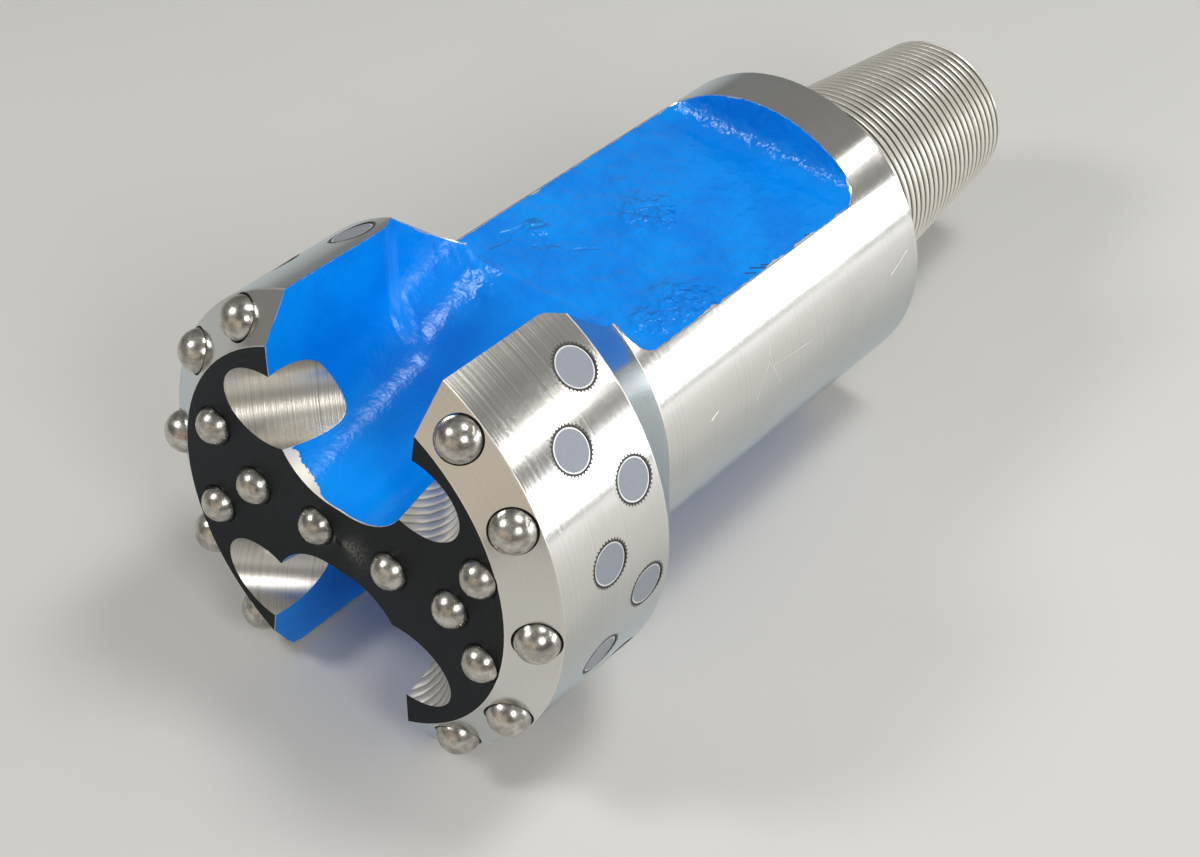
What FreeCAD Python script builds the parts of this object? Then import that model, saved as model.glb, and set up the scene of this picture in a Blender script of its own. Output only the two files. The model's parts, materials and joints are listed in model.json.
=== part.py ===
"""Cable tool drill bit: one forged and turned steel body with domed and flush carbide inserts.

The body is built about its own axis. Z runs from the cutting face (Z = 0) to the end of the
threaded pin, X runs across the two wings and Y runs up through the upper channel. The whole bit
is then laid down as it rests on a floor: on the lower corners of its wings and on its collar.
Lengths are in millimetres and angles in degrees.
"""
import FreeCAD
import Part
import Sketcher
import math
import os
import re

SIZES = {
    # Turned outline
    "gauge_diameter": 158.75,
    "face_diameter": 130.2,
    "bevel_angle": 35.0,
    "gauge_end": 59.4,
    "head_end": 89.1,
    "shank_diameter": 114.3,
    "shoulder_station": 233.6,
    "shoulder_chamfer": 0.8,
    "pin_length": 104.6,
    "pin_base_diameter": 80.9,
    "thread_depth": 1.5,
    "pin_taper_angle": 5.9,
    "pin_nose_chamfer": 2.2,
    # Channels between the wings
    "web_thickness": 24.6,
    "channel_width": 62.0,
    "channel_draft": 5.0,
    "channel_corner_radius": 23.0,
    "channel_floor_slope": 17.5,
    "channel_exit_slope": 3.0,
    "channel_crown": 13.0,
    "flare_start": 51.0,
    "flare_end": 62.0,
    "flare_step": 5.0,
    # Flats on the shank
    "flats_across": 78.9,
    "flat_start": 89.9,
    "flat_end": 212.2,
    "flat_fillet": 9.0,
    # Scallops at the wing roots
    "scallop_diameter": 26.2,
    "scallop_across": 30.0,
    "scallop_up": 34.3,
    "scallop_lean": 41.0,
    "scallop_splay": 6.0,
    "scallop_reach": 40.0,
    # Domed buttons in the face
    "face_button_diameter": 12.7,
    "face_button_length": 18.0,
    "face_button_proud": 5.6,
    # Domed buttons in the bevel
    "gauge_button_diameter": 14.3,
    "gauge_button_length": 16.0,
    "gauge_button_proud": 6.0,
    "gauge_button_inset": 6.4,
    # Flush inserts in the gauge
    "insert_diameter": 14.3,
    "insert_length": 7.0,
    "insert_sink": 0.3,
    "insert_chamfer": 0.7,
    "front_row_station": 32.1,
    "rear_row_station": 49.2,
    # Seats of the buttons and inserts
    "seat_clearance": 0.05,
    "seat_chamfer": 0.5,
    "foot_chamfer": 0.8,
}

# Place of each face button: distance from the bit's axis, angle from the wing's centre line
FACE_BUTTONS = {
    "left": [(54.4, 16.1), (54.2, -17.9), (35.4, 1.4), (9.1, 4.8)],
    "right": [(58.4, 12.4), (58.5, -20.3), (44.9, -1.9), (20.8, -2.9)],
}
# Angles from the wing's centre line
GAUGE_BUTTON_ANGLES = [-56.1, -32.3, -2.1, 28.3, 52.0]
REAR_ROW_ANGLES = [-54.7, -27.4, 0.0, 27.4, 54.7]
FRONT_ROW_ANGLES = [-41.0, -13.7, 13.7, 41.0]
WING_ANGLES = {"left": 0.0, "right": 180.0}
INSERT_TURNS = {"left": 4.0, "right": 0.6}
# Turn about the bit's axis of each side that has a channel, a flat and two scallops
SIDE_TURNS = {"upper": 0, "lower": 180}
# How far each scallop, milled one by one, strays from the driving sizes: across, up, lean, splay
SCALLOP_SHIFTS = {
    "upper": {"left": (0.0, 0.0, 0.0, 0.0), "right": (-0.5, 1.5, 0.0, 1.0)},
    "lower": {"left": (1.0, 3.0, 0.0, 12.0), "right": (-2.8, -0.7, 5.0, -10.0)},
}

FLARE_STEPS = 6      # lengths of the channel's loft along the flare
CROWN_STEPS = 5      # and along the crown
OVERRUN = 4.0        # how far a cutting shape passes the surface that it starts from
SCALLOP_LEAD = 30.0  # length of the scallop's cutter ahead of the cutting face
SMALLEST_CUT = 1.0   # cubic millimetres that every cutting feature takes away at least


def cell(text):
    """Expression with each size's alias written as its spreadsheet cell."""
    return re.sub("[a-z_]+", lambda word: "Sizes." * (word.group() in SIZES) + word.group(), text)


def make_sheet(doc):
    """Spreadsheet with one aliased cell for each driving size."""
    sheet = doc.addObject("Spreadsheet::Sheet", "Sizes")
    for row, (alias, value) in enumerate(SIZES.items(), start=1):
        sheet.set("A%d" % row, alias)
        sheet.set("B%d" % row, str(value))
        sheet.setAlias("B%d" % row, alias)
    doc.recompute()


def origin_item(body, role):
    """One of the body's own origin planes or axes."""
    return next(item for item in body.Origin.OriginFeatures if item.Role == role)


def make_body(doc, name):
    """Empty body with its own label."""
    body = doc.addObject("PartDesign::Body", name)
    body.Label = name
    return body


def add_sketch(body, name, role, offset=None):
    """Empty sketch on one of the body's origin planes."""
    sketch = body.newObject("Sketcher::SketchObject", name)
    sketch.AttachmentSupport = (origin_item(body, role), "")
    sketch.MapMode = "FlatFace"
    if offset:
        sketch.setExpression("AttachmentOffset", offset)
    return sketch


def present_value(sketch, text):
    """Number that an expression gives now."""
    value = sketch.evalExpression(text)
    return float(getattr(value, "Value", value))


def tie(sketch, kind, place, text):
    """Constraint whose value is bound to an expression."""
    index = sketch.addConstraint(Sketcher.Constraint(kind, *place, present_value(sketch, text)))
    sketch.setExpression("Constraints[%d]" % index, text)


def tie_point(sketch, element, end, across, up):
    """Both coordinates of a point, each bound to an expression."""
    tie(sketch, "DistanceX", (element, end), across)
    tie(sketch, "DistanceY", (element, end), up)


def rounded_corner(before, corner, after, radius):
    """Centre and both tangent points of the arc that rounds a corner."""
    to_before = (before - corner).normalize()
    to_after = (after - corner).normalize()
    half_angle = to_before.getAngle(to_after) / 2
    reach = radius / math.tan(half_angle)
    centre = corner + (to_before + to_after).normalize() * (radius / math.sin(half_angle))
    return centre, corner + to_before * reach, corner + to_after * reach


def draw_outline(sketch, corners):
    """Closed outline of straight edges, its corners sharp or rounded.

    Each corner is (across, up) or (across, up, radius), all expressions on the sizes. A rounded
    corner keeps a construction point where its two edges would meet, and that point is tied.
    """
    corners = [[cell(text) for text in corner] for corner in corners]
    points = [
        FreeCAD.Vector(present_value(sketch, corner[0]), present_value(sketch, corner[1]), 0)
        for corner in corners
    ]
    count = len(corners)
    starts = list(points)
    ends = list(points)
    arcs = {}
    for index, corner in enumerate(corners):
        if len(corner) == 3:
            before = points[index - 1]
            after = points[(index + 1) % count]
            radius = present_value(sketch, corner[2])
            centre, first, last = rounded_corner(before, points[index], after, radius)
            ends[index] = first
            starts[index] = last
            arcs[index] = (centre, first, last, radius)
    edges = [
        sketch.addGeometry(Part.LineSegment(starts[index], ends[(index + 1) % count]), False)
        for index in range(count)
    ]
    for index, corner in enumerate(corners):
        edge_before = edges[index - 1]
        edge_after = edges[index]
        if index in arcs:
            add_rounding(sketch, corner, points[index], arcs[index], edge_before, edge_after)
        else:
            sketch.addConstraint(Sketcher.Constraint("Coincident", edge_before, 2, edge_after, 1))
            tie_point(sketch, edge_after, 1, corner[0], corner[1])


def add_rounding(sketch, corner, point, arc, edge_before, edge_after):
    """Tangent arc between two edges, and the tied point where they would meet."""
    centre, first, last, radius = arc
    first_angle = math.atan2(first.y - centre.y, first.x - centre.x)
    last_angle = math.atan2(last.y - centre.y, last.x - centre.x)
    turns_left = (last_angle - first_angle) % (2 * math.pi) < math.pi
    angles = (first_angle, last_angle) if turns_left else (last_angle, first_angle)
    circle = Part.Circle(centre, FreeCAD.Vector(0, 0, 1), radius)
    rounding = sketch.addGeometry(Part.ArcOfCircle(circle, *angles), False)
    first_end, last_end = (1, 2) if turns_left else (2, 1)
    meeting = sketch.addGeometry(Part.Point(point), True)
    sketch.addConstraint([
        Sketcher.Constraint("Tangent", edge_before, 2, rounding, first_end),
        Sketcher.Constraint("Tangent", rounding, last_end, edge_after, 1),
        Sketcher.Constraint("PointOnObject", meeting, 1, edge_before),
        Sketcher.Constraint("PointOnObject", meeting, 1, edge_after),
    ])
    tie_point(sketch, meeting, 1, corner[0], corner[1])
    tie(sketch, "Radius", (rounding,), corner[2])


def turn_outline(body):
    """Turned form: face, gauge bevel, gauge, back cone, shank, shoulder and tapered pin.

    The pin is turned to the root of its thread, whose crests stand at the pin's base diameter.
    """
    sketch = add_sketch(body, "turned_outline", "XZ_Plane")
    bevel_end = "(gauge_diameter - face_diameter) / 2 * tan(bevel_angle)"
    pin_end = "shoulder_station + pin_length"
    pin_radius = "pin_base_diameter / 2 - thread_depth"
    pin_tip_radius = pin_radius + " - pin_length * tan(pin_taper_angle)"
    draw_outline(sketch, [
        ("0", "0"),
        ("face_diameter / 2", "0"),
        ("gauge_diameter / 2", bevel_end),
        ("gauge_diameter / 2", "gauge_end"),
        ("shank_diameter / 2", "head_end"),
        ("shank_diameter / 2", "shoulder_station - shoulder_chamfer"),
        ("shank_diameter / 2 - shoulder_chamfer", "shoulder_station"),
        (pin_radius, "shoulder_station"),
        (pin_tip_radius + " + pin_nose_chamfer * tan(pin_taper_angle)", pin_end + " - pin_nose_chamfer"),
        (pin_tip_radius + " - pin_nose_chamfer", pin_end),
        ("0", pin_end),
    ])
    turned = body.newObject("PartDesign::Revolution", "turned_form")
    turned.Profile = sketch
    turned.ReferenceAxis = (sketch, ["V_Axis"])
    turned.Angle = 360


def channel_stations():
    """Station, half-width at the gauge and floor height of each of the channel's sections.

    The floor climbs in a straight line, bends over a crown as a parabola and leaves just above
    the flat. The walls step outwards in an S-curve between the start and the end of the flare.
    """
    climb = "tan(channel_floor_slope)"
    exit_climb = "tan(channel_exit_slope)"
    ramp = "web_thickness / 2 + (%s) * " + climb
    narrow = "channel_width / 2"
    wide = "(channel_width / 2 + flare_step)"
    start = "-%s" % OVERRUN
    stations = [(start, narrow, ramp % start)]
    for step in range(FLARE_STEPS + 1):
        share = step / FLARE_STEPS
        station = "flare_start + (flare_end - flare_start) * %s" % share
        half_width = "%s + flare_step * %s" % (narrow, share * share * (3 - 2 * share))
        stations.append((station, half_width, ramp % station))
    crown = "(flats_across / 2 - web_thickness / 2) / " + climb
    for step in range(CROWN_STEPS + 1):
        offset = 2 * step / CROWN_STEPS - 1
        bend = "(%s + %s) / 2 * %s" % (climb, exit_climb, offset)
        sag = "(%s - %s) / 4 * %s" % (climb, exit_climb, offset * offset + 1)
        floor = "flats_across / 2 + channel_crown * (%s - %s)" % (bend, sag)
        stations.append(("%s + channel_crown * %s" % (crown, offset), wide, floor))
    exit_floor = "flats_across / 2 + 2 * channel_crown * " + exit_climb
    stations.append((crown + " + 2 * channel_crown", wide, exit_floor))
    return stations


def cut_channel(body, side):
    """Channel of one side: a drafted trough through the head, lofted along its sections."""
    sections = [
        channel_section(body, "%s_channel_section_%d" % (side, number), SIDE_TURNS[side], *station)
        for number, station in enumerate(channel_stations(), start=1)
    ]
    channel = body.newObject("PartDesign::SubtractiveLoft", side + "_channel")
    channel.Profile = sections[0]
    channel.Sections = sections[1:]
    channel.Ruled = True


def channel_section(body, name, turn, station, half_width, floor):
    """Trough section at one station: its walls lean by the draft and round into the floor."""
    place = cell("placement(vector(0; 0; %s); rotation(%d; 0; 0))" % (station, turn))
    sketch = add_sketch(body, name, "XY_Plane", place)
    top = "(gauge_diameter / 2 + %s)" % OVERRUN
    lean = "tan(channel_draft)"
    at_floor = "(%s - (gauge_diameter / 2 - (%s)) * %s)" % (half_width, floor, lean)
    at_top = "(%s + %s * %s)" % (half_width, OVERRUN, lean)
    draw_outline(sketch, [
        ("0 - " + at_floor, floor, "channel_corner_radius"),
        (at_floor, floor, "channel_corner_radius"),
        (at_top, top),
        ("0 - " + at_top, top),
    ])
    return sketch


def cut_flat(body, side):
    """Flat on one side of the shank, with a rounded run-out at each end."""
    turned = "placement(vector(0; 0; 0); rotation(0; %d; 0))" % SIDE_TURNS[side]
    sketch = add_sketch(body, side + "_flat_outline", "YZ_Plane", turned)
    outside = "shank_diameter / 2 + %s" % OVERRUN
    draw_outline(sketch, [
        ("flats_across / 2", "flat_start", "flat_fillet"),
        (outside, "flat_start"),
        (outside, "flat_end"),
        ("flats_across / 2", "flat_end", "flat_fillet"),
    ])
    flat = body.newObject("PartDesign::Pocket", side + "_flat")
    flat.Profile = sketch
    flat.Midplane = True
    flat.setExpression("Length", cell("shank_diameter + 2 * %s" % OVERRUN))


def cut_scallop(body, side, wing):
    """Round scallop milled across a wing's root, leaning from the face into the channel."""
    scallop = body.newObject("PartDesign::SubtractiveCylinder", "%s_scallop_%s" % (side, wing))
    scallop.AttachmentSupport = (origin_item(body, "XY_Plane"), "")
    scallop.MapMode = "FlatFace"
    scallop.setExpression("Radius", cell("scallop_diameter / 2"))
    scallop.setExpression("Height", cell("scallop_reach + %s" % SCALLOP_LEAD))
    across, up, lean, splay = SCALLOP_SHIFTS[side][wing]
    outwards = 1 if wing == "left" else -1
    upwards = 1 if side == "upper" else -1
    heading = "%d - %d * (scallop_splay + %s)" % (90 + 90 * outwards, outwards * upwards, splay)
    start = "placement(vector(%d * (scallop_across + %s); %d * (scallop_up + %s); 0); " % (
        outwards, across, upwards, up)
    leaning = "rotation(%s; scallop_lean + %s; 0))" % (heading, lean)
    back = " * placement(vector(0; 0; 0 - %s); rotation(0; 0; 0))" % SCALLOP_LEAD
    scallop.setExpression("AttachmentOffset", cell(start + leaning + back))


class Seat:
    """Place of one insert on the body: its node's name, kind, and where its top centre lies."""

    def __init__(self, name, kind, distance, angle, station, lean):
        self.name = name
        self.kind = kind
        self.frame = cell(
            "placement(vector(%s * cos(%s); %s * sin(%s); %s); rotation(%s; %s; 0))"
            % (distance, angle, distance, angle, station, angle, lean)
        )


KINDS = {
    # kind: diameter, whole length, how far it stands proud of its seat's mouth
    "face_button": ("face_button_diameter", "face_button_length", "face_button_proud"),
    "gauge_button": ("gauge_button_diameter", "gauge_button_length", "gauge_button_proud"),
    "gauge_insert": ("insert_diameter", "insert_length", "(0 - insert_sink)"),
}


def wing_seats(wing):
    """Seats of one wing's buttons and inserts, counted along the face, the bevel and the gauge."""
    wing_angle = WING_ANGLES[wing]
    seats = []
    for number, (distance, angle) in enumerate(FACE_BUTTONS[wing], start=1):
        name = "face_button_%s_%d" % (wing, number)
        seats.append(Seat(name, "face_button", distance, wing_angle + angle, "0", "180"))
    bevel_distance = "(gauge_diameter / 2 - gauge_button_inset)"
    bevel_station = "(%s - face_diameter / 2) * tan(bevel_angle)" % bevel_distance
    for number, angle in enumerate(GAUGE_BUTTON_ANGLES, start=1):
        name = "gauge_button_%s_%d" % (wing, number)
        seats.append(Seat(name, "gauge_button", bevel_distance, wing_angle + angle, bevel_station,
                          "180 - bevel_angle"))
    rows = [(angle, "rear_row_station") for angle in REAR_ROW_ANGLES]
    rows += [(angle, "front_row_station") for angle in FRONT_ROW_ANGLES]
    for number, (angle, station) in enumerate(sorted(rows), start=1):
        name = "gauge_insert_%s_%d" % (wing, number)
        turned_angle = wing_angle + INSERT_TURNS[wing] + angle
        seats.append(Seat(name, "gauge_insert", "gauge_diameter / 2", turned_angle, station, "90"))
    return seats


def cut_seat(body, seat):
    """Flat-bottomed hole with a broken edge, into which one insert is pressed."""
    diameter, length, proud = KINDS[seat.kind]
    stand_up = " * placement(vector(0; 0; 0); rotation(0; 0; 90))"
    sketch = add_sketch(body, seat.name + "_seat_outline", "XY_Plane", seat.frame + stand_up)
    radius = "(%s / 2 + seat_clearance)" % diameter
    draw_outline(sketch, [
        ("0", "%s - %s" % (proud, length)),
        (radius, "%s - %s" % (proud, length)),
        (radius, "0 - seat_chamfer"),
        (radius + " + seat_chamfer + %s" % OVERRUN, "%s" % OVERRUN),
        ("0", "%s" % OVERRUN),
    ])
    hole = body.newObject("PartDesign::Groove", seat.name + "_seat")
    hole.Profile = sketch
    hole.ReferenceAxis = (sketch, ["V_Axis"])
    hole.Angle = 360


def make_domed_button(doc, seat, diameter, length, proud):
    """Domed button: a cylinder with a chamfered foot and a half-round top."""
    body = make_body(doc, seat.name)
    sketch = add_sketch(body, seat.name + "_outline", "XZ_Plane")
    radius = cell(diameter + " / 2")
    foot = cell("%s - %s" % (proud, length))
    spring = cell("%s - %s / 2" % (proud, diameter))
    chamfered_foot = cell("%s - %s + foot_chamfer" % (proud, length))
    foot_radius = cell("%s / 2 - foot_chamfer" % diameter)
    top = cell(proud)
    corners = [("0", foot), (foot_radius, foot), (radius, chamfered_foot), (radius, spring)]
    points = [
        FreeCAD.Vector(present_value(sketch, across), present_value(sketch, up), 0)
        for across, up in corners
    ]
    points.append(FreeCAD.Vector(0, present_value(sketch, top), 0))
    edges = [sketch.addGeometry(Part.LineSegment(*pair), False) for pair in zip(points[:3], points[1:4])]
    axis_edge = sketch.addGeometry(Part.LineSegment(points[4], points[0]), False)
    centre = FreeCAD.Vector(0, points[3].y, 0)
    circle = Part.Circle(centre, FreeCAD.Vector(0, 0, 1), points[3].x)
    dome = sketch.addGeometry(Part.ArcOfCircle(circle, 0, math.pi / 2), False)
    chain = edges + [dome, axis_edge]
    for before, after in zip(chain, chain[1:] + chain[:1]):
        sketch.addConstraint(Sketcher.Constraint("Coincident", before, 2, after, 1))
    for edge, (across, up) in zip(edges, corners):
        tie_point(sketch, edge, 1, across, up)
    tie_point(sketch, dome, 1, radius, spring)
    tie_point(sketch, axis_edge, 1, "0", top)
    sketch.addConstraint(Sketcher.Constraint("PointOnObject", dome, 3, -2))
    revolve_piece(body, sketch)
    return body


def make_flush_insert(doc, seat, diameter, length, proud):
    """Flat-topped insert with a chamfered rim and foot."""
    body = make_body(doc, seat.name)
    sketch = add_sketch(body, seat.name + "_outline", "XZ_Plane")
    radius = diameter + " / 2"
    foot = "%s - %s" % (proud, length)
    draw_outline(sketch, [
        ("0", foot),
        (radius + " - foot_chamfer", foot),
        (radius, foot + " + foot_chamfer"),
        (radius, proud + " - insert_chamfer"),
        (radius + " - insert_chamfer", proud),
        ("0", proud),
    ])
    revolve_piece(body, sketch)
    return body


def revolve_piece(body, sketch):
    """Full turn of a piece's outline about its own axis."""
    form = body.newObject("PartDesign::Revolution", body.Name + "_form")
    form.Profile = sketch
    form.ReferenceAxis = (sketch, ["V_Axis"])
    form.Angle = 360


def make_bit_body(doc, seats):
    """Steel body with its channels, flats, scallops and seats."""
    body = make_body(doc, "bit_body")
    turn_outline(body)
    for seat in seats:
        cut_seat(body, seat)
    for side in SIDE_TURNS:
        cut_flat(body, side)
        cut_channel(body, side)
        for wing in WING_ANGLES:
            cut_scallop(body, side, wing)
    return body


def lay_down(doc, body, pieces):
    """Rest pose: the axis drops towards the pin until the wings and the collar touch the floor."""
    wing_corner = "sqrt((gauge_diameter / 2) ^ 2 - (channel_width / 2) ^ 2)"
    drop = "(%s - shank_diameter / 2)" % wing_corner
    run = "(shoulder_station - shoulder_chamfer - flare_start)"
    turn = cell("rotation(180; 0; 90 deg + atan(%s / %s))" % (drop, run))
    body.setExpression("Placement", "placement(vector(0; 0; 0); %s)" % turn)
    for piece, seat in pieces:
        piece.setExpression("Placement", "bit_body.Placement * " + seat.frame)
    doc.recompute()
    shapes = [body.Shape] + [piece.Shape for piece, seat in pieces]
    box = Part.makeCompound(shapes).optimalBoundingBox(False)
    middle = (box.YMin + box.YMax) / 2
    body.setExpression("Placement", "placement(vector(0; %.6f; %.6f); %s)" % (-middle, -box.ZMin, turn))
    doc.recompute()


def check_document(doc, nodes):
    """Stops if anything failed, if a cut took nothing away, or if a piece isn't one valid solid."""
    for item in doc.Objects:
        if "Invalid" in item.State or "Error" in item.State:
            raise RuntimeError("%s did not build: %s" % (item.Name, item.State))
    for feature in doc.getObject("bit_body").Group:
        base = getattr(feature, "BaseFeature", None)
        if base and base.Shape.Volume - feature.Shape.Volume < SMALLEST_CUT:
            raise RuntimeError("%s cuts nothing" % feature.Name)
    for node in nodes:
        if node.Shape.isNull() or not node.Shape.isValid() or len(node.Shape.Solids) != 1:
            raise RuntimeError("%s is not one valid solid" % node.Name)


def main():
    """Builds the bit and writes one STEP file for each piece."""
    doc = FreeCAD.newDocument("cable_tool_bit")
    make_sheet(doc)
    seats = wing_seats("left") + wing_seats("right")
    body = make_bit_body(doc, seats)
    pieces = []
    for seat in seats:
        make_piece = make_flush_insert if seat.kind == "gauge_insert" else make_domed_button
        pieces.append((make_piece(doc, seat, *KINDS[seat.kind]), seat))
    doc.recompute()
    lay_down(doc, body, pieces)
    nodes = [body] + [piece for piece, seat in pieces]
    check_document(doc, nodes)
    os.makedirs("parts", exist_ok=True)
    for node in nodes:
        node.Shape.exportStep("parts/%s.step" % node.Label)
    print("%d pieces, body %.0f cubic mm" % (len(nodes), body.Shape.Volume))


main()
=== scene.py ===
"""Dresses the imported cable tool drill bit: finishes, thread, insert rings, floor, light and camera.

Places on the bit are given in its own frame, in millimetres: across runs from the right wing to
the left wing, up runs through the upper channel, and along runs from the cutting face to the pin.
"""

import json
import logging
import math
from dataclasses import dataclass
from enum import Enum
from functools import cached_property, partial, reduce
from typing import NamedTuple, Sequence

import bmesh
import bpy
from mathutils import Matrix, Vector


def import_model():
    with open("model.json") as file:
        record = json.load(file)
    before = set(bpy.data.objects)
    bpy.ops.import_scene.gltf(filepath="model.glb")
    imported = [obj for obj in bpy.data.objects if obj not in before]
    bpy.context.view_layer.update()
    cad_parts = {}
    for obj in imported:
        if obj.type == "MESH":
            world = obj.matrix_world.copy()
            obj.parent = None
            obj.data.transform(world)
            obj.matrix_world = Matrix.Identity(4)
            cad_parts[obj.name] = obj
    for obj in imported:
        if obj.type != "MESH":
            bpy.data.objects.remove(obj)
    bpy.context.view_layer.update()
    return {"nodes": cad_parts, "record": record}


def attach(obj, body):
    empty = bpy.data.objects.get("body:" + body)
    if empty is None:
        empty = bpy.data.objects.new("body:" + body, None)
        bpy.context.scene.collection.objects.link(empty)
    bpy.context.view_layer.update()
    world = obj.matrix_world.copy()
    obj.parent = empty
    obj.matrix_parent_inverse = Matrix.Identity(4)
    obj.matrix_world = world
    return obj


LOG = logging.getLogger("drill_bit")
MM = 0.001
IMAGE_WIDTH_PX = 1200
# Sockets of a Mix node for values and for colours, and of a Noise Texture
MIX_VALUES = (0, 2, 3)
MIX_COLOURS = (0, 6, 7)
NOISE_SOCKETS = ("Vector", "Scale", "Detail", "Roughness")
NOISE_MIDDLE = 0.5

Colour = tuple[float, float, float, float]
# Where a mask starts and where it is whole
Band = tuple[float, float]
# Least value, and how much a mask or a noise adds to it
Spread = tuple[float, float]
Socket = bpy.types.NodeSocket
Value = bpy.types.NodeSocket | float | Sequence[float]


class Slot(Enum):
    """The record's material slots."""

    STEEL = "body_steel"
    DOME = "carbide_dome"
    FLAT = "carbide_flat"


@dataclass(frozen=True)
class BitSizes:
    """Sizes of the turned body that the finishes and the thread follow, in millimetres and degrees."""

    face_radius: float = 65.1
    gauge_radius: float = 79.375
    bevel_angle: float = 35.0
    gauge_end: float = 59.4
    head_end: float = 89.1
    shank_radius: float = 57.15
    shoulder: float = 233.6
    flat_start: float = 89.9
    pin_length: float = 104.6
    pin_radius: float = 40.45
    pin_taper: float = 5.9
    pin_nose_chamfer: float = 2.2
    thread_pitch: float = 3.629
    thread_depth: float = 1.5
    channel_reach: float = 37.8
    web_half: float = 11.0
    scallop_radius: float = 13.1
    scallop_length: float = 30.0

    @property
    def bevel_end(self) -> float:
        """Place along the bit where the bevel meets the gauge."""
        return (self.gauge_radius - self.face_radius) * math.tan(math.radians(self.bevel_angle))


SIZES = BitSizes()


@dataclass(frozen=True)
class Margins:
    """How far from an edge or outline each region's mask changes, in millimetres; rim_lean is a cosine."""

    face_skin: Band = (0.03, 0.01)
    scallop_wall: Band = (0.13, 0.05)
    scallop_end: float = 2.0
    cone_ends: float = 0.1
    shank_side: float = 1.0
    shoulder_side: Band = (0.5, 0.3)
    cast_skin: Band = (22.0, 8.0)
    cut: float = 0.12
    bare_cut: float = 0.22
    painted_cut: float = 0.24
    corner: Band = (0.42, 0.15)
    corner_off_face: float = 0.02
    bevel_end: float = 0.6
    rim_lean: Band = (0.95, 0.88)


MARGINS = Margins()


@dataclass(frozen=True)
class Grain:
    """A noise: its waves to the unit of place, its octaves and how strong the finer ones are."""

    waves: float
    octaves: float = 2.0
    rough: float = 0.5


@dataclass(frozen=True)
class Scallop:
    """Axis of one scallop: where it meets the cutting face, how it leans and how it splays."""

    across: float
    up: float
    lean: float
    splay: float

    def start(self) -> tuple[float, float, float]:
        """Place of the axis on the cutting face."""
        return self.across, self.up, 0.0

    def axis(self) -> tuple[float, float, float]:
        """Direction of the axis, from the face into the channel.

        Returns:
            The direction, one unit long.
        """
        lean = math.radians(self.lean)
        splay = math.radians(self.splay)
        inwards = -math.copysign(math.cos(splay) * math.sin(lean), self.across)
        away = math.copysign(math.sin(splay) * math.sin(lean), self.up * self.splay)
        return inwards, away, math.cos(lean)


SCALLOPS = (
    Scallop(30.0, 34.3, 41.0, 6.0),
    Scallop(-29.5, 35.8, 41.0, 7.0),
    Scallop(31.0, -37.3, 41.0, 18.0),
    Scallop(-27.2, -33.6, 46.0, -4.0),
)


@dataclass(frozen=True)
class Stroke:
    """Straight mark on the skin, between two places given by two of the bit's coordinates."""

    start: tuple[float, float]
    end: tuple[float, float]
    half_width: float = 0.22
    core_share: float = 1 / 3

    def mask(self, graph: "Graph", first: Socket, second: Socket) -> Socket:
        """1 on the mark and 0 beside it.

        Args:
            graph: the tree to build in.
            first: the first coordinate, in millimetres.
            second: the second coordinate, in millimetres.

        Returns:
            The mask.
        """
        way = Vector(self.end) - Vector(self.start)
        length = way.length
        way.normalize()
        from_first = graph.math("SUBTRACT", first, self.start[0])
        from_second = graph.math("SUBTRACT", second, self.start[1])
        run = graph.plus(graph.times(from_second, way.y), from_first, way.x)
        side = graph.plus(graph.times(from_second, way.x), from_first, -way.y)
        from_middle = graph.math("ABSOLUTE", graph.math("SUBTRACT", run, length / 2))
        beyond = graph.math("SUBTRACT", from_middle, length / 2)
        reach = graph.math("ADD", graph.math("ABSOLUTE", side), graph.math("MAXIMUM", beyond, 0.0))
        return graph.step(reach, self.half_width, self.half_width * self.core_share)


# Stray scratches on the right side of the shank, by their places up and along
SHANK_SCRATCHES = (
    Stroke((16.3, 144.0), (5.8, 136.1), 0.30),
    Stroke((15.4, 144.4), (5.4, 149.5), 0.26),
    Stroke((20.7, 145.8), (17.8, 144.3)),
    Stroke((14.7, 176.7), (8.6, 177.4)),
    Stroke((13.0, 115.3), (11.5, 111.4), 0.30),
    Stroke((11.9, 167.5), (13.5, 145.7), 0.14),
    Stroke((17.2, 226.6), (12.7, 215.8), 0.18),
    Stroke((-15.7, 133.6), (-17.4, 142.0)),
    Stroke((-24.0, 118.0), (-20.0, 152.0), 0.20),
)
# Creases in the forged skin of the flats, by their places across and along
FLAT_CREASES = (
    Stroke((31.2, 96.0), (31.2, 119.2), 1.6),
    Stroke((21.0, 113.0), (4.5, 126.4), 1.3),
    Stroke((12.0, 149.0), (1.5, 156.5), 1.5),
    Stroke((9.0, 154.5), (-1.0, 160.0), 1.2),
    Stroke((-27.0, 106.5), (-33.5, 109.5), 1.5),
)
# Painted shadows: dark strokes in the enamel beside its right edge, standing in for the shade of small burrs,
# by their places across and along
EDGE_CUT_SHADOWS = (
    Stroke((-37.0, 153.0), (-40.5, 157.0), 0.6),
    Stroke((-38.5, 156.8), (-40.8, 159.5), 0.5),
    Stroke((-37.5, 149.5), (-40.0, 152.5), 0.5),
    Stroke((-39.5, 181.0), (-41.8, 183.5), 0.6),
)
# Middle and reach of each patch of lumps in the forged skin, across and along
LUMP_PATCHES = (
    (6.0, 155.0, 15.0),
    (-33.0, 124.0, 16.0),
    (-30.5, 108.4, 9.0),
    (27.0, 122.5, 6.0),
)


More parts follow.
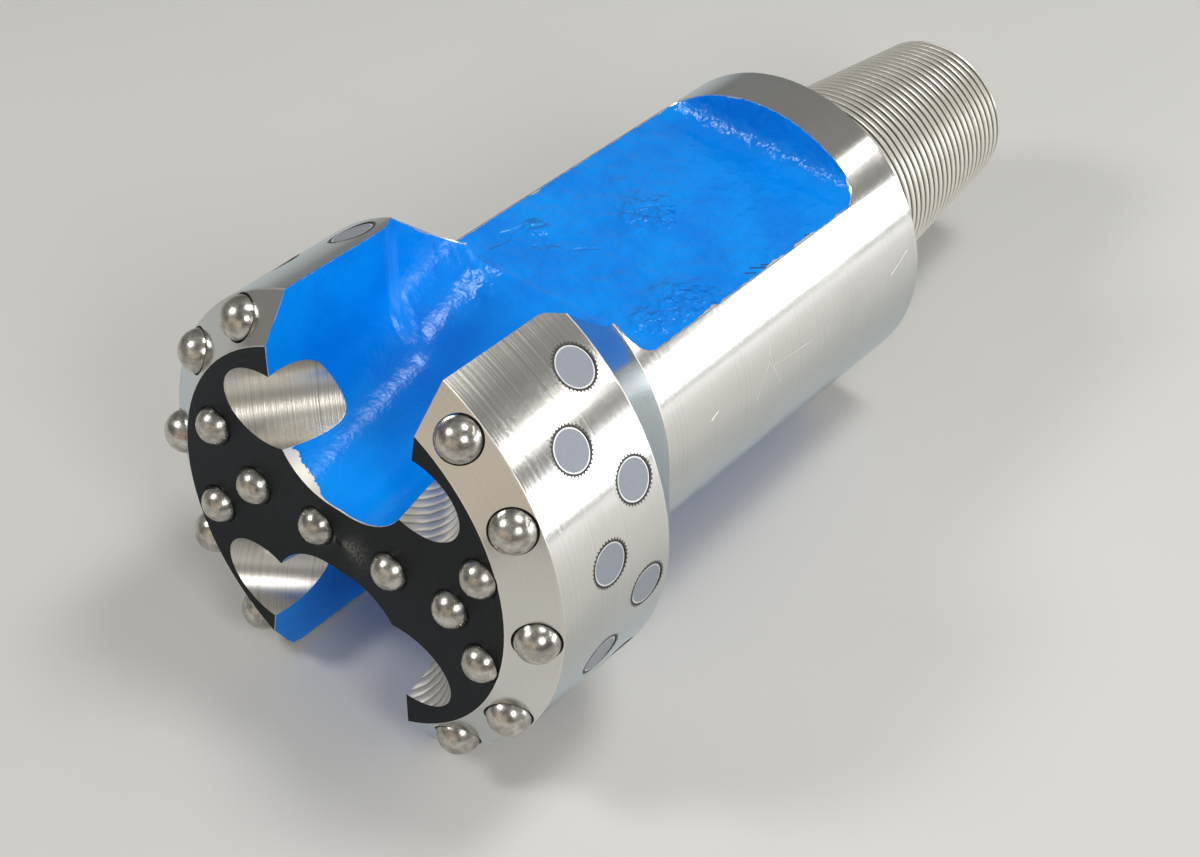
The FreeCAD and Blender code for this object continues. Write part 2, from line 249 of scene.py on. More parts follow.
class BitFrame:
    """The bit's own frame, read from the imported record's mounts."""

    def __init__(self, record: dict) -> None:
        """Finds the frame.

        Args:
            record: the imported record, with the pin and wrench flat mounts.
        """
        mounts = {mount["name"]: mount for mount in record["mounts"]}
        self.along = Vector(mounts["pin_thread"]["axis"]).normalized()
        self.up = Vector(mounts["wrench_flat_upper"]["axis"]).normalized()
        self.across = self.up.cross(self.along)
        middle_of_pin = Vector(mounts["pin_thread"]["pos_m"])
        station = SIZES.shoulder + SIZES.pin_length / 2
        self.origin = middle_of_pin - self.along * station * MM

    def place(self, across: float, up: float, along: float) -> Vector:
        """Point in the row's frame, in metres, from millimetres across, up and along the bit."""
        return self.origin + (self.across * across + self.up * up + self.along * along) * MM

    def direction(self, across: float, up: float, along: float) -> Vector:
        """Direction in the row's frame, from its three parts in the bit's frame."""
        return self.across * across + self.up * up + self.along * along

    def read(self, point: Vector) -> Vector:
        """Millimetres across, up and along of a point of the row's frame."""
        offset = (point - self.origin) / MM
        return Vector((offset.dot(self.across), offset.dot(self.up), offset.dot(self.along)))


class Graph:
    """Short words for building a node tree."""

    def __init__(self, tree: bpy.types.NodeTree) -> None:
        """Starts on a material's tree or a node group."""
        self.tree = tree

    def node(self, kind: str, **settings: object) -> bpy.types.Node:
        """Adds a node.

        Args:
            kind: the node's type.
            settings: the properties to set on it.

        Returns:
            The node.
        """
        made = self.tree.nodes.new(kind)
        for name, value in settings.items():
            setattr(made, name, value)
        return made

    def feed(self, socket: Socket, value: Value) -> None:
        """Links a socket, or sets its number, vector or colour.

        Args:
            socket: an input.
            value: an output to link, or what to set.
        """
        if isinstance(value, bpy.types.NodeSocket):
            self.tree.links.new(value, socket)
        else:
            socket.default_value = value

    def fill(self, node: bpy.types.Node, values: dict[str, Value]) -> None:
        """Feeds a node's inputs by their names."""
        for name, value in values.items():
            self.feed(node.inputs[name], value)

    def wire(self, kind: str, values: Sequence[Value], at: Sequence[int | str] = range(5),
             **settings: object) -> bpy.types.Node:
        """Adds a node and feeds its inputs.

        Args:
            kind: the node's type.
            values: what to feed.
            at: the number or the name of the input for each value.
            settings: the properties to set on the node.

        Returns:
            The node.
        """
        made = self.node(kind, **settings)
        for key, value in zip(at, values):
            self.feed(made.inputs[key], value)
        return made

    def math(self, operation: str, *values: Value) -> Socket:
        """Result of a Math node, such as ADD, MULTIPLY or MINIMUM."""
        return self.wire("ShaderNodeMath", values, operation=operation).outputs[0]

    def vector(self, operation: str, *values: Value) -> bpy.types.Node:
        """Vector Math node."""
        return self.wire("ShaderNodeVectorMath", values, operation=operation)

    def combine(self, *values: Value) -> Socket:
        """Vector of three values."""
        return self.wire("ShaderNodeCombineXYZ", values).outputs[0]

    def blend(self, factor: Value, first: Value, second: Value) -> Socket:
        """Value between two values."""
        return self.wire("ShaderNodeMix", (factor, first, second), MIX_VALUES, data_type="FLOAT").outputs[0]

    def tint(self, factor: Value, first: Value, second: Value) -> Socket:
        """Colour between two colours."""
        return self.wire("ShaderNodeMix", (factor, first, second), MIX_COLOURS, data_type="RGBA").outputs[2]

    def step(self, value: Value, low: float, high: float) -> Socket:
        """0 below low, 1 above high, and smooth between; falls instead where low is above high."""
        bounds = (high, low, 1.0, 0.0) if low > high else (low, high, 0.0, 1.0)
        return self.wire("ShaderNodeMapRange", (value, *bounds), interpolation_type="SMOOTHSTEP").outputs[0]

    def times(self, first: Value, *others: Value) -> Socket:
        """Product of two or more values."""
        return reduce(partial(self.math, "MULTIPLY"), others, first)

    def largest(self, values: Sequence[Socket]) -> Socket:
        """Largest of several values."""
        return reduce(partial(self.math, "MAXIMUM"), values)

    def without(self, value: Value, mask: Value) -> Socket:
        """A value, less what a mask holds of it."""
        return self.times(value, self.math("SUBTRACT", 1.0, mask))

    def plus(self, base: Value, value: Value, share: Value) -> Socket:
        """A base with a share of another value added."""
        return self.math("MULTIPLY_ADD", value, share, base)

    def among(self, value: Value, spread: Spread) -> Socket:
        """Least value of a spread where value is 0, with all that the spread adds where it is 1."""
        least, more = spread
        return self.plus(least, value, more)

    def noise(self, place: Value, grain: Grain) -> Socket:
        """Noise between 0 and 1."""
        values = (place, grain.waves, grain.octaves, grain.rough)
        return self.wire("ShaderNodeTexNoise", values, NOISE_SOCKETS).outputs[0]

    def bump(self, height: Value, millimetres: float) -> Socket:
        """Normal of a surface raised by the height times a distance in millimetres."""
        return self.wire("ShaderNodeBump", (millimetres * MM, height), ("Distance", "Height")).outputs[0]

    def use(self, group: bpy.types.NodeTree) -> dict[str, Socket]:
        """Adds a node group and returns its outputs by name."""
        made = self.node("ShaderNodeGroup", node_tree=group)
        return {socket.name: socket for socket in made.outputs}


class GroupMaker:
    """Node groups that several finishes share."""

    def __init__(self, frame: BitFrame) -> None:
        """Keeps the frame and makes the groups.

        Args:
            frame: the bit's own frame.
        """
        self.frame = frame
        self.coordinates = self.make_coordinates()
        self.regions = self.make_regions()
        self.insert_rim = self.make_insert_rim()

    @staticmethod
    def start(name: str) -> Graph:
        """New group, still empty."""
        return Graph(bpy.data.node_groups.new(name, "ShaderNodeTree"))

    @staticmethod
    def put_out(graph: Graph, values: dict[str, Socket]) -> bpy.types.NodeTree:
        """Gives a group its outputs.

        Args:
            graph: the group's tree.
            values: what each output gives, by its name.

        Returns:
            The group.
        """
        for name in values:
            graph.tree.interface.new_socket(name, in_out="OUTPUT", socket_type="NodeSocketFloat")
        graph.fill(graph.node("NodeGroupOutput"), values)
        return graph.tree

    def make_coordinates(self) -> bpy.types.NodeTree:
        """Place in the bit's own frame.

        Returns:
            Group with three places and the radius in millimetres, and the angle round the bit in radians.
        """
        graph = self.start("Bit coordinates")
        place = graph.node("ShaderNodeTexCoord").outputs["Object"]
        offset = graph.vector("SUBTRACT", place, self.frame.origin[:]).outputs[0]
        parts = []
        for axis in (self.frame.across, self.frame.up, self.frame.along):
            part = graph.vector("DOT_PRODUCT", offset, axis[:]).outputs["Value"]
            parts.append(graph.times(part, 1 / MM))
        across, up, along = parts
        squares = graph.math("ADD", graph.math("POWER", across, 2.0), graph.math("POWER", up, 2.0))
        return self.put_out(graph, {
            "Across": across,
            "Up": up,
            "Along": along,
            "Radius": graph.math("SQRT", squares),
            "Angle": graph.math("ARCTAN2", up, across),
        })

    def make_insert_rim(self) -> bpy.types.NodeTree:
        """Chamfers round the flush inserts.

        Returns:
            Group with 1 where a surface leans away from the straight way out from the bit's axis.
        """
        graph = self.start("Insert rim")
        place = graph.use(self.coordinates)
        ways = []
        for axis, name in ((self.frame.across, "Across"), (self.frame.up, "Up")):
            way = graph.wire("ShaderNodeVectorMath", (axis[:], place[name]), (0, "Scale"), operation="SCALE")
            ways.append(way.outputs[0])
        outwards = graph.vector("NORMALIZE", graph.vector("ADD", *ways).outputs[0]).outputs[0]
        normal = graph.node("ShaderNodeNewGeometry").outputs["True Normal"]
        facing_out = graph.vector("DOT_PRODUCT", normal, outwards).outputs["Value"]
        return self.put_out(graph, {"Rim": graph.step(facing_out, *MARGINS.rim_lean)})

    def make_regions(self) -> bpy.types.NodeTree:
        """Regions of the body.

        Returns:
            Group with the depth below the turned outline, the place along the scallop and the regions' masks.
        """
        graph = self.start("Body regions")
        place = graph.use(self.coordinates)
        along = place["Along"]
        across = graph.math("ABSOLUTE", place["Across"])
        up = graph.math("ABSOLUTE", place["Up"])
        depth = self.depth_below_turned(graph, place)
        face = graph.step(along, *MARGINS.face_skin)
        run, distance = self.nearest_scallop(graph, place)
        outside, inside = (SIZES.scallop_radius + margin for margin in MARGINS.scallop_wall)
        scallop = graph.times(
            graph.step(distance, outside, inside),
            graph.step(along, SIZES.scallop_length, SIZES.scallop_length - MARGINS.scallop_end),
        )
        between_wings = graph.math("LESS_THAN", across, SIZES.channel_reach)
        on_shank = graph.math("GREATER_THAN", along, SIZES.gauge_end + MARGINS.shank_side)
        clear_of_web = graph.math("GREATER_THAN", up, SIZES.web_half)
        water_way = graph.times(graph.math("MAXIMUM", between_wings, on_shank), clear_of_web)
        pin = graph.step(along, *(SIZES.shoulder - margin for margin in MARGINS.shoulder_side))
        cone = graph.times(
            graph.step(along, SIZES.gauge_end, SIZES.gauge_end + MARGINS.cone_ends),
            graph.step(along, SIZES.head_end + MARGINS.cone_ends, SIZES.head_end),
        )
        before, after = MARGINS.cast_skin
        cut = graph.math("GREATER_THAN", depth, MARGINS.cut)
        held = graph.largest([water_way, scallop, pin, face])
        return self.put_out(graph, {
            "Depth": depth,
            "Face": face,
            "Scallop": graph.without(scallop, face),
            "Scallop run": run,
            "Back cone": cone,
            "Cast": graph.step(along, SIZES.flat_start - before, SIZES.flat_start + after),
            "Pin": pin,
            "Water way": water_way,
            "Seat": graph.without(cut, held),
            "Corner highlight": self.corner_highlight_lines(graph, along, depth),
        })

    @staticmethod
    def corner_highlight_lines(graph: Graph, along: Socket, depth: Socket) -> Socket:
        """Thin lines along the corners of the turned outline, where a highlight is painted.

        Args:
            graph: the group's tree.
            along: place along the bit.
            depth: depth below the turned outline.

        Returns:
            1 on the corners, where the painted highlight goes.
        """
        lines = []
        for corner in (0.0, SIZES.bevel_end, SIZES.gauge_end, SIZES.head_end, SIZES.shoulder):
            away = graph.math("ABSOLUTE", graph.math("SUBTRACT", along, corner))
            lines.append(graph.step(away, *MARGINS.corner))
        on_outline = graph.math("LESS_THAN", depth, MARGINS.cut)
        off_face = graph.math("GREATER_THAN", along, MARGINS.corner_off_face)
        return graph.times(graph.largest(lines), on_outline, off_face)

    @staticmethod
    def depth_below_turned(graph: Graph, place: dict[str, Socket]) -> Socket:
        """Depth of the surface below the turned outline, measured towards the axis.

        Args:
            graph: the group's tree.
            place: the place in the bit's frame.

        Returns:
            The depth in millimetres.
        """
        along = place["Along"]
        bevel_rise = 1 / math.tan(math.radians(SIZES.bevel_angle))
        bevel = graph.plus(SIZES.face_radius, along, bevel_rise)
        cone_fall = (SIZES.gauge_radius - SIZES.shank_radius) / (SIZES.head_end - SIZES.gauge_end)
        cone_start = SIZES.gauge_radius + SIZES.gauge_end * cone_fall
        cone = graph.plus(cone_start, along, -cone_fall)
        rear = graph.math("MAXIMUM", cone, SIZES.shank_radius)
        outline = graph.math("MINIMUM", graph.math("MINIMUM", bevel, SIZES.gauge_radius), rear)
        return graph.math("SUBTRACT", outline, place["Radius"])

    @staticmethod
    def nearest_scallop(graph: Graph, place: dict[str, Socket]) -> tuple[Socket, Socket]:
        """Finds the scallop whose axis is nearest.

        Args:
            graph: the group's tree.
            place: the place in the bit's frame.

        Returns:
            Place along that axis and distance from it, in millimetres.
        """
        point = graph.combine(place["Across"], place["Up"], place["Along"])
        near_run = None
        near_distance = None
        for scallop in SCALLOPS:
            offset = graph.vector("SUBTRACT", point, scallop.start()).outputs[0]
            run = graph.vector("DOT_PRODUCT", offset, scallop.axis()).outputs["Value"]
            cross = graph.vector("CROSS_PRODUCT", offset, scallop.axis()).outputs[0]
            distance = graph.vector("LENGTH", cross).outputs["Value"]
            if near_run is None:
                near_run, near_distance = run, distance
                continue
            nearer = graph.math("LESS_THAN", distance, near_distance)
            near_run = graph.blend(nearer, near_run, run)
            near_distance = graph.math("MINIMUM", distance, near_distance)
        return near_run, near_distance


class Skin(NamedTuple):
    """How a surface looks: its colour, roughness and height."""

    colour: Socket
    rough: Value
    height: Socket


class MaterialGraph(Graph):
    """Tree of a new material."""

    def __init__(self, name: str) -> None:
        """Makes the material.

        Args:
            name: the material's name.
        """
        self.material = bpy.data.materials.new(name)
        self.material.use_nodes = True
        super().__init__(self.material.node_tree)
        self.shader = self.tree.nodes["Principled BSDF"]

    def shade(self, values: dict[str, Value]) -> bpy.types.Material:
        """Feeds the shader's inputs, by their names, and gives the material."""
        self.fill(self.shader, values)
        return self.material


class BitGraph(MaterialGraph):
    """Tree of a new material of the bit, with the place on the bit as sockets."""

    def __init__(self, name: str, groups: GroupMaker) -> None:
        """Makes the material and adds the group of places.

        Args:
            name: the material's name.
            groups: the shared node groups.
        """
        super().__init__(name)
        self.groups = groups
        place = self.use(groups.coordinates)
        self.across, self.up, self.along = place["Across"], place["Up"], place["Along"]
        self.radius, self.angle = place["Radius"], place["Angle"]
        self.point = self.combine(self.across, self.up, self.along)

    @cached_property
    def region(self) -> dict[str, Socket]:
        """Depth and masks of the body's regions."""
        return self.use(self.groups.regions)

    @cached_property
    def on_right(self) -> Socket:
        """1 on the right wing's side and 0 on the left wing's."""
        return self.math("LESS_THAN", self.across, 0.0)


@dataclass(frozen=True)
class Enamel:
    """Bright enamel, smooth over milled steel and lumpy over the forged skin, with a ragged, chipped edge."""

    bright: Colour = (0.0, 0.24, 0.81, 1.0)
    deep: Colour = (0.0, 0.195, 0.73, 1.0)
    pooling: Grain = Grain(0.05)
    pooled: Band = (0.35, 0.65)
    ragged: Grain = Grain(0.40, 3.0, 0.7)
    chips: Grain = Grain(0.07, 1.0)
    chipped: Band = (0.56, 0.66)
    edge_wander: float = 0.9
    edge_start: float = -0.12
    front_wander: float = 0.8
    strip_right: Band = (5.0, 16.0)
    strip_left: Band = (27.0, 24.0)
    upper_side: Band = (0.0, 1.0)
    strip_width: Spread = (0.2, 6.0)
    lumps: Grain = Grain(0.20, 2.0, 0.45)
    lump_height: Spread = (7.0, 20.0)
    patch_core: float = 0.3
    wrinkles: Grain = Grain(0.40)
    wrinkle_stretch: tuple[float, float, float] = (1.0, 1.0, 0.45)
    wrinkle_height: Spread = (3.0, 5.0)
    folds: Grain = Grain(0.13, 1.0)
    fold_width: Band = (0.07, 0.0)
    fold_height: float = 3.0
    swell: Grain = Grain(0.075, 1.0)
    swell_height: float = 12.0
    sway: Grain = Grain(0.12, 1.0)
    sway_width: float = 8.0
    crease_height: float = -2.5
    # painted shadow beside the enamel's right edge: how dark it is, and its colour
    cut_shade: float = 0.8
    cut_shadow_colour: Colour = (0.02, 0.019, 0.018, 1.0)
    grit: Grain = Grain(0.9, 1.0)
    grit_height: float = 0.6
    peel_height: float = 2.0
    gloss: Spread = (0.13, 0.16)

    def mask(self, graph: BitGraph) -> Socket:
        """Where the enamel lies: in the channels and on the flats, but for a bare strip behind the face.

        Args:
            graph: the material's tree.

        Returns:
            1 on the enamel and 0 off it.
        """
        ragged = graph.noise(graph.point, self.ragged)
        chips = graph.step(graph.noise(graph.point, self.chips), *self.chipped)
        wander = graph.math("ADD", chips, self.edge_wander)
        edge = graph.plus(self.edge_start, ragged, wander)
        edge = graph.math("MAXIMUM", edge, MARGINS.painted_cut)
        below = graph.math("GREATER_THAN", graph.region["Depth"], edge)
        strip = graph.times(
            graph.step(graph.across, *self.strip_right),
            graph.step(graph.across, *self.strip_left),
            graph.step(graph.up, *self.upper_side),
        )
        strip_width = graph.times(strip, graph.among(ragged, self.strip_width))
        front = graph.plus(strip_width, ragged, self.front_wander)
        behind_face = graph.math("GREATER_THAN", graph.along, front)
        bare = graph.math("MAXIMUM", graph.region["Pin"], graph.region["Scallop"])
        return graph.without(graph.times(below, behind_face, graph.region["Water way"]), bare)

    def surface(self, graph: BitGraph) -> Skin:
        """Colour, roughness and height of the enamel.

        Args:
            graph: the material's tree.

        Returns:
            The enamel's skin.
        """
        lumps = graph.noise(graph.point, self.lumps)
        grit = graph.noise(graph.point, self.grit)
        pooled = graph.step(graph.noise(graph.point, self.pooling), *self.pooled)
        colour = graph.tint(pooled, self.deep, self.bright)
        cut_shadows = graph.largest([cut.mask(graph, graph.across, graph.along) for cut in EDGE_CUT_SHADOWS])
        cut_shadows = graph.times(cut_shadows, graph.math("GREATER_THAN", graph.up, 0.0))
        # painted shadow: dark strokes beside the upper flat's right edge, where small burrs cast shade
        colour = graph.tint(graph.times(cut_shadows, self.cut_shade), colour, self.cut_shadow_colour)
        cast = graph.times(graph.region["Cast"], self.forged_skin(graph, lumps))
        peel = graph.plus(graph.times(lumps, self.peel_height), grit, self.grit_height)
        return Skin(colour, graph.among(grit, self.gloss), graph.math("ADD", cast, peel))

    def forged_skin(self, graph: BitGraph, lumps: Socket) -> Socket:
        """Height of the forged skin: a slow swell, wrinkles, creases, and patches of lumps and folds.

        Args:
            graph: the material's tree.
            lumps: the noise of the lumps.

        Returns:
            The height.
        """
        spot = graph.combine(graph.across, graph.along, 0.0)
        patches = []
        for across, along, reach in LUMP_PATCHES:
            offset = graph.vector("SUBTRACT", spot, (across, along, 0.0)).outputs[0]
            distance = graph.vector("LENGTH", offset).outputs["Value"]
            patches.append(graph.step(distance, reach, reach * self.patch_core))
        patch = graph.largest(patches)
        stretched = graph.vector("MULTIPLY", graph.point, self.wrinkle_stretch).outputs[0]
        wrinkles = graph.noise(stretched, self.wrinkles)
        from_fold = graph.math("SUBTRACT", graph.noise(graph.point, self.folds), NOISE_MIDDLE)
        folds = graph.step(graph.math("ABSOLUTE", from_fold), *self.fold_width)
        sway = graph.plus(-self.sway_width / 2, graph.noise(graph.point, self.sway), self.sway_width)
        across = graph.math("ADD", graph.across, sway)
        along = graph.math("ADD", graph.along, sway)
        creases = graph.largest([crease.mask(graph, across, along) for crease in FLAT_CREASES])
        height = graph.times(lumps, graph.among(patch, self.lump_height))
        height = graph.plus(height, graph.noise(graph.point, self.swell), self.swell_height)
        height = graph.plus(height, wrinkles, graph.among(patch, self.wrinkle_height))
        height = graph.plus(height, graph.times(folds, patch), self.fold_height)
        return graph.plus(height, creases, self.crease_height)


@dataclass(frozen=True)
class TurnedSteel:
    """Turned steel, with lathe lines round it, smudges, painted highlights along the corners, scratches and
    pin-pricks.
    """

    steel: Colour = (0.68, 0.665, 0.635, 1.0)
    dull: Colour = (0.47, 0.46, 0.435, 1.0)
    # painted highlight: the pale colour laid along the corners of the turned outline
    corner: Colour = (0.76, 0.73, 0.66, 1.0)
    scratched: Colour = (0.88, 0.88, 0.86, 1.0)
    groove_on_face: float = 0.6
    groove_on_side: float = 0.8
    lines: Grain = Grain(1.1, 3.0, 0.75)
    lined: Band = (0.40, 0.66)
    bands: Grain = Grain(0.12, 1.0)
    banded: Band = (0.35, 0.65)
    smudges: Grain = Grain(0.035)
    smudged: Band = (0.5, 0.75)
    line_shade: Spread = (0.18, 0.16)
    line_shade_on_slopes: float = 0.10
    smudge_shade: float = 0.15
    corner_highlight_share: float = 0.7
    gloss: float = 0.14
    line_gloss: float = 0.08
    smudge_gloss: float = 0.03
    mark_gloss: float = 0.45
    line_height: float = 0.20
    line_height_on_slopes: float = 0.03
    scratch_height: float = -0.5
    pricks_per_mm: float = 0.075
    prick_size: Band = (0.028, 0.018)

    def surface(self, graph: BitGraph) -> Skin:
        """Colour, roughness and height of the turned steel.

        Args:
            graph: the material's tree.

        Returns:
            The steel's skin.
        """
        on_side = graph.times(graph.along, self.groove_on_side)
        groove = graph.combine(0.0, 0.0, graph.plus(on_side, graph.radius, self.groove_on_face))
        fine = graph.noise(groove, self.lines)
        line = graph.step(fine, *self.lined)
        band = graph.step(graph.noise(groove, self.bands), *self.banded)
        smudge = graph.step(graph.noise(graph.point, self.smudges), *self.smudged)
        scratch = self.scratches(graph)
        corner = graph.region["Corner highlight"]
        bevel_sides = (SIZES.bevel_end + MARGINS.bevel_end, SIZES.bevel_end - MARGINS.bevel_end)
        bevel = graph.step(graph.along, *bevel_sides)
        slope = graph.math("MAXIMUM", graph.region["Back cone"], bevel)
        shade = graph.blend(slope, graph.among(band, self.line_shade), self.line_shade_on_slopes)
        colour = graph.tint(graph.times(line, shade), self.steel, self.dull)
        colour = graph.tint(graph.times(smudge, self.smudge_shade), colour, self.dull)
        # painted highlight along the corners of the turned outline
        colour = graph.tint(graph.times(corner, self.corner_highlight_share), colour, self.corner)
        colour = graph.tint(scratch, colour, self.scratched)
        rough = graph.plus(self.gloss, smudge, self.smudge_gloss)
        rough = graph.plus(rough, line, self.line_gloss)
        rough = graph.blend(graph.math("MAXIMUM", scratch, corner), rough, self.mark_gloss)
        height = graph.times(fine, graph.blend(slope, self.line_height, self.line_height_on_slopes))
        return Skin(colour, rough, graph.plus(height, scratch, self.scratch_height))

    def scratches(self, graph: BitGraph) -> Socket:
        """Stray scratches on the right side of the shank, and pin-pricks everywhere.

        Args:
            graph: the material's tree.

        Returns:
            1 on a scratch or a prick.
        """
        lines = graph.largest([scratch.mask(graph, graph.up, graph.along) for scratch in SHANK_SCRATCHES])
        cells = graph.wire("ShaderNodeTexVoronoi", (self.pricks_per_mm, graph.point), ("Scale", "Vector"))
        pricks = graph.step(cells.outputs["Distance"], *self.prick_size)
        on_shank = graph.math("GREATER_THAN", graph.along, SIZES.head_end)
        return graph.math("MAXIMUM", graph.times(lines, graph.on_right, on_shank), pricks)


@dataclass(frozen=True)
class FacedSteel:
    """Faced front, coloured near black as a painted reflection, with rings from the cutter, a painted
    highlight fanning out along the web, and painted shade in the small hollow at the centre.
    """

    # painted reflection: the near-black colour stands in for the dark surroundings that the faced front
    # reflects
    dark: Colour = (0.024, 0.023, 0.023, 1.0)
    mark: Colour = (0.10, 0.096, 0.09, 1.0)
    # painted highlight: the light colour stands in for the glow of the lathe-faced surface along the web
    fan_highlight: Colour = (0.26, 0.25, 0.23, 1.0)
    # painted shade: the near-black colour in the centre's small hollow, where shade falls
    dimple_shade: Colour = (0.02, 0.019, 0.018, 1.0)
    rings: Grain = Grain(0.9, 3.0, 0.8)
    ringed: Band = (0.5, 0.8)
    ring_shade: float = 0.35
    fan_narrowness: float = 5.0
    fan_reach: Band = (15.0, 2.0)
    streaks: Grain = Grain(1.2)
    streaked: Band = (0.3, 0.7)
    streaks_round: float = 6.0
    dimple_edge: Band = (1.9, 1.2)
    dimple_slope: Band = (0.0, 2.0)
    dimple_depth: float = 6.0
    ring_height: float = 0.3
    gloss: float = 0.42

    def surface(self, graph: BitGraph) -> Skin:
        """Colour, roughness and height of the front.

        Args:
            graph: the material's tree.

        Returns:
            The front's skin.
        """
        rings = graph.noise(graph.combine(graph.radius, 0.0, 0.0), self.rings)
        marks = graph.times(graph.step(rings, *self.ringed), self.ring_shade)
        colour = graph.tint(marks, self.dark, self.mark)
        facing_web = graph.math("ABSOLUTE", graph.math("COSINE", graph.angle))
        along_web = graph.math("POWER", facing_web, self.fan_narrowness)
        round_it = graph.combine(graph.times(graph.angle, self.streaks_round), graph.radius, 0.0)
        streaks = graph.step(graph.noise(round_it, self.streaks), *self.streaked)
        # painted highlight fanning out from the centre along the web
        fan_glow = graph.times(along_web, graph.step(graph.radius, *self.fan_reach), streaks)
        colour = graph.tint(fan_glow, colour, self.fan_highlight)
        # painted shade in the centre's small hollow
        colour = graph.tint(graph.step(graph.radius, *self.dimple_edge), colour, self.dimple_shade)
        dish = graph.times(graph.step(graph.radius, *self.dimple_slope), self.dimple_depth)
        return Skin(colour, self.gloss, graph.plus(dish, rings, self.ring_height))


@dataclass(frozen=True)
class MilledSteel:
    """Milled scallops: fine cutter marks on the left wing, curved ridges on the right."""

    steel: Colour = (0.72, 0.69, 0.63, 1.0)
    dull: Colour = (0.36, 0.335, 0.29, 1.0)
    hair: Grain = Grain(1.6, 3.0, 0.75)
    haired: Band = (0.42, 0.68)
    streaks: Grain = Grain(0.5, 2.0, 0.7)
    streaked: Band = (0.5, 0.75)
    hair_shade: float = 0.55
    streak_shade: float = 0.35
    hair_height: float = 0.5
    streak_height: float = 0.6
    ridge_pitch: float = 3.2
    ridge_bow: float = 0.16
    ridge_bend: float = 0.12
    wander: Grain = Grain(0.25)
    wander_turns: float = 2.4
    ridge_crest: Band = (0.55, 0.95)
    ridge_shade: float = 0.75
    ridge_hair_shade: float = 0.2
    ridge_height: float = -0.55
    ridge_hair_height: float = 0.3
    left_gloss: float = 0.34
    right_gloss: float = 0.55

    def surface(self, graph: BitGraph) -> Skin:
        """Colour, roughness and height of the scallops.

        Args:
            graph: the material's tree.

        Returns:
            The scallops' skin.
        """
        run = graph.region["Scallop run"]
        along_run = graph.combine(0.0, 0.0, run)
        hair = graph.noise(along_run, self.hair)
        streaks = graph.noise(along_run, self.streaks)
        streak_mark = graph.times(graph.step(streaks, *self.streaked), self.streak_shade)
        fine_mark = graph.plus(streak_mark, graph.step(hair, *self.haired), self.hair_shade)
        fine = graph.plus(graph.times(streaks, self.streak_height), hair, self.hair_height)
        bow = graph.math("POWER", graph.times(graph.up, self.ridge_bow), 2.0)
        curved = graph.plus(run, bow, self.ridge_bend)
        wander = graph.noise(graph.combine(graph.across, graph.up, run), self.wander)
        ridges = graph.times(curved, 2 * math.pi / self.ridge_pitch)
        wave = graph.math("SINE", graph.plus(ridges, wander, self.wander_turns))
        crest = graph.step(wave, *self.ridge_crest)
        coarse_mark = graph.plus(graph.times(hair, self.ridge_hair_shade), crest, self.ridge_shade)
        coarse = graph.plus(graph.times(hair, self.ridge_hair_height), wave, self.ridge_height)
        colour = graph.tint(graph.blend(graph.on_right, fine_mark, coarse_mark), self.steel, self.dull)
        rough = graph.blend(graph.on_right, self.left_gloss, self.right_gloss)
        return Skin(colour, rough, graph.blend(graph.on_right, fine, coarse))


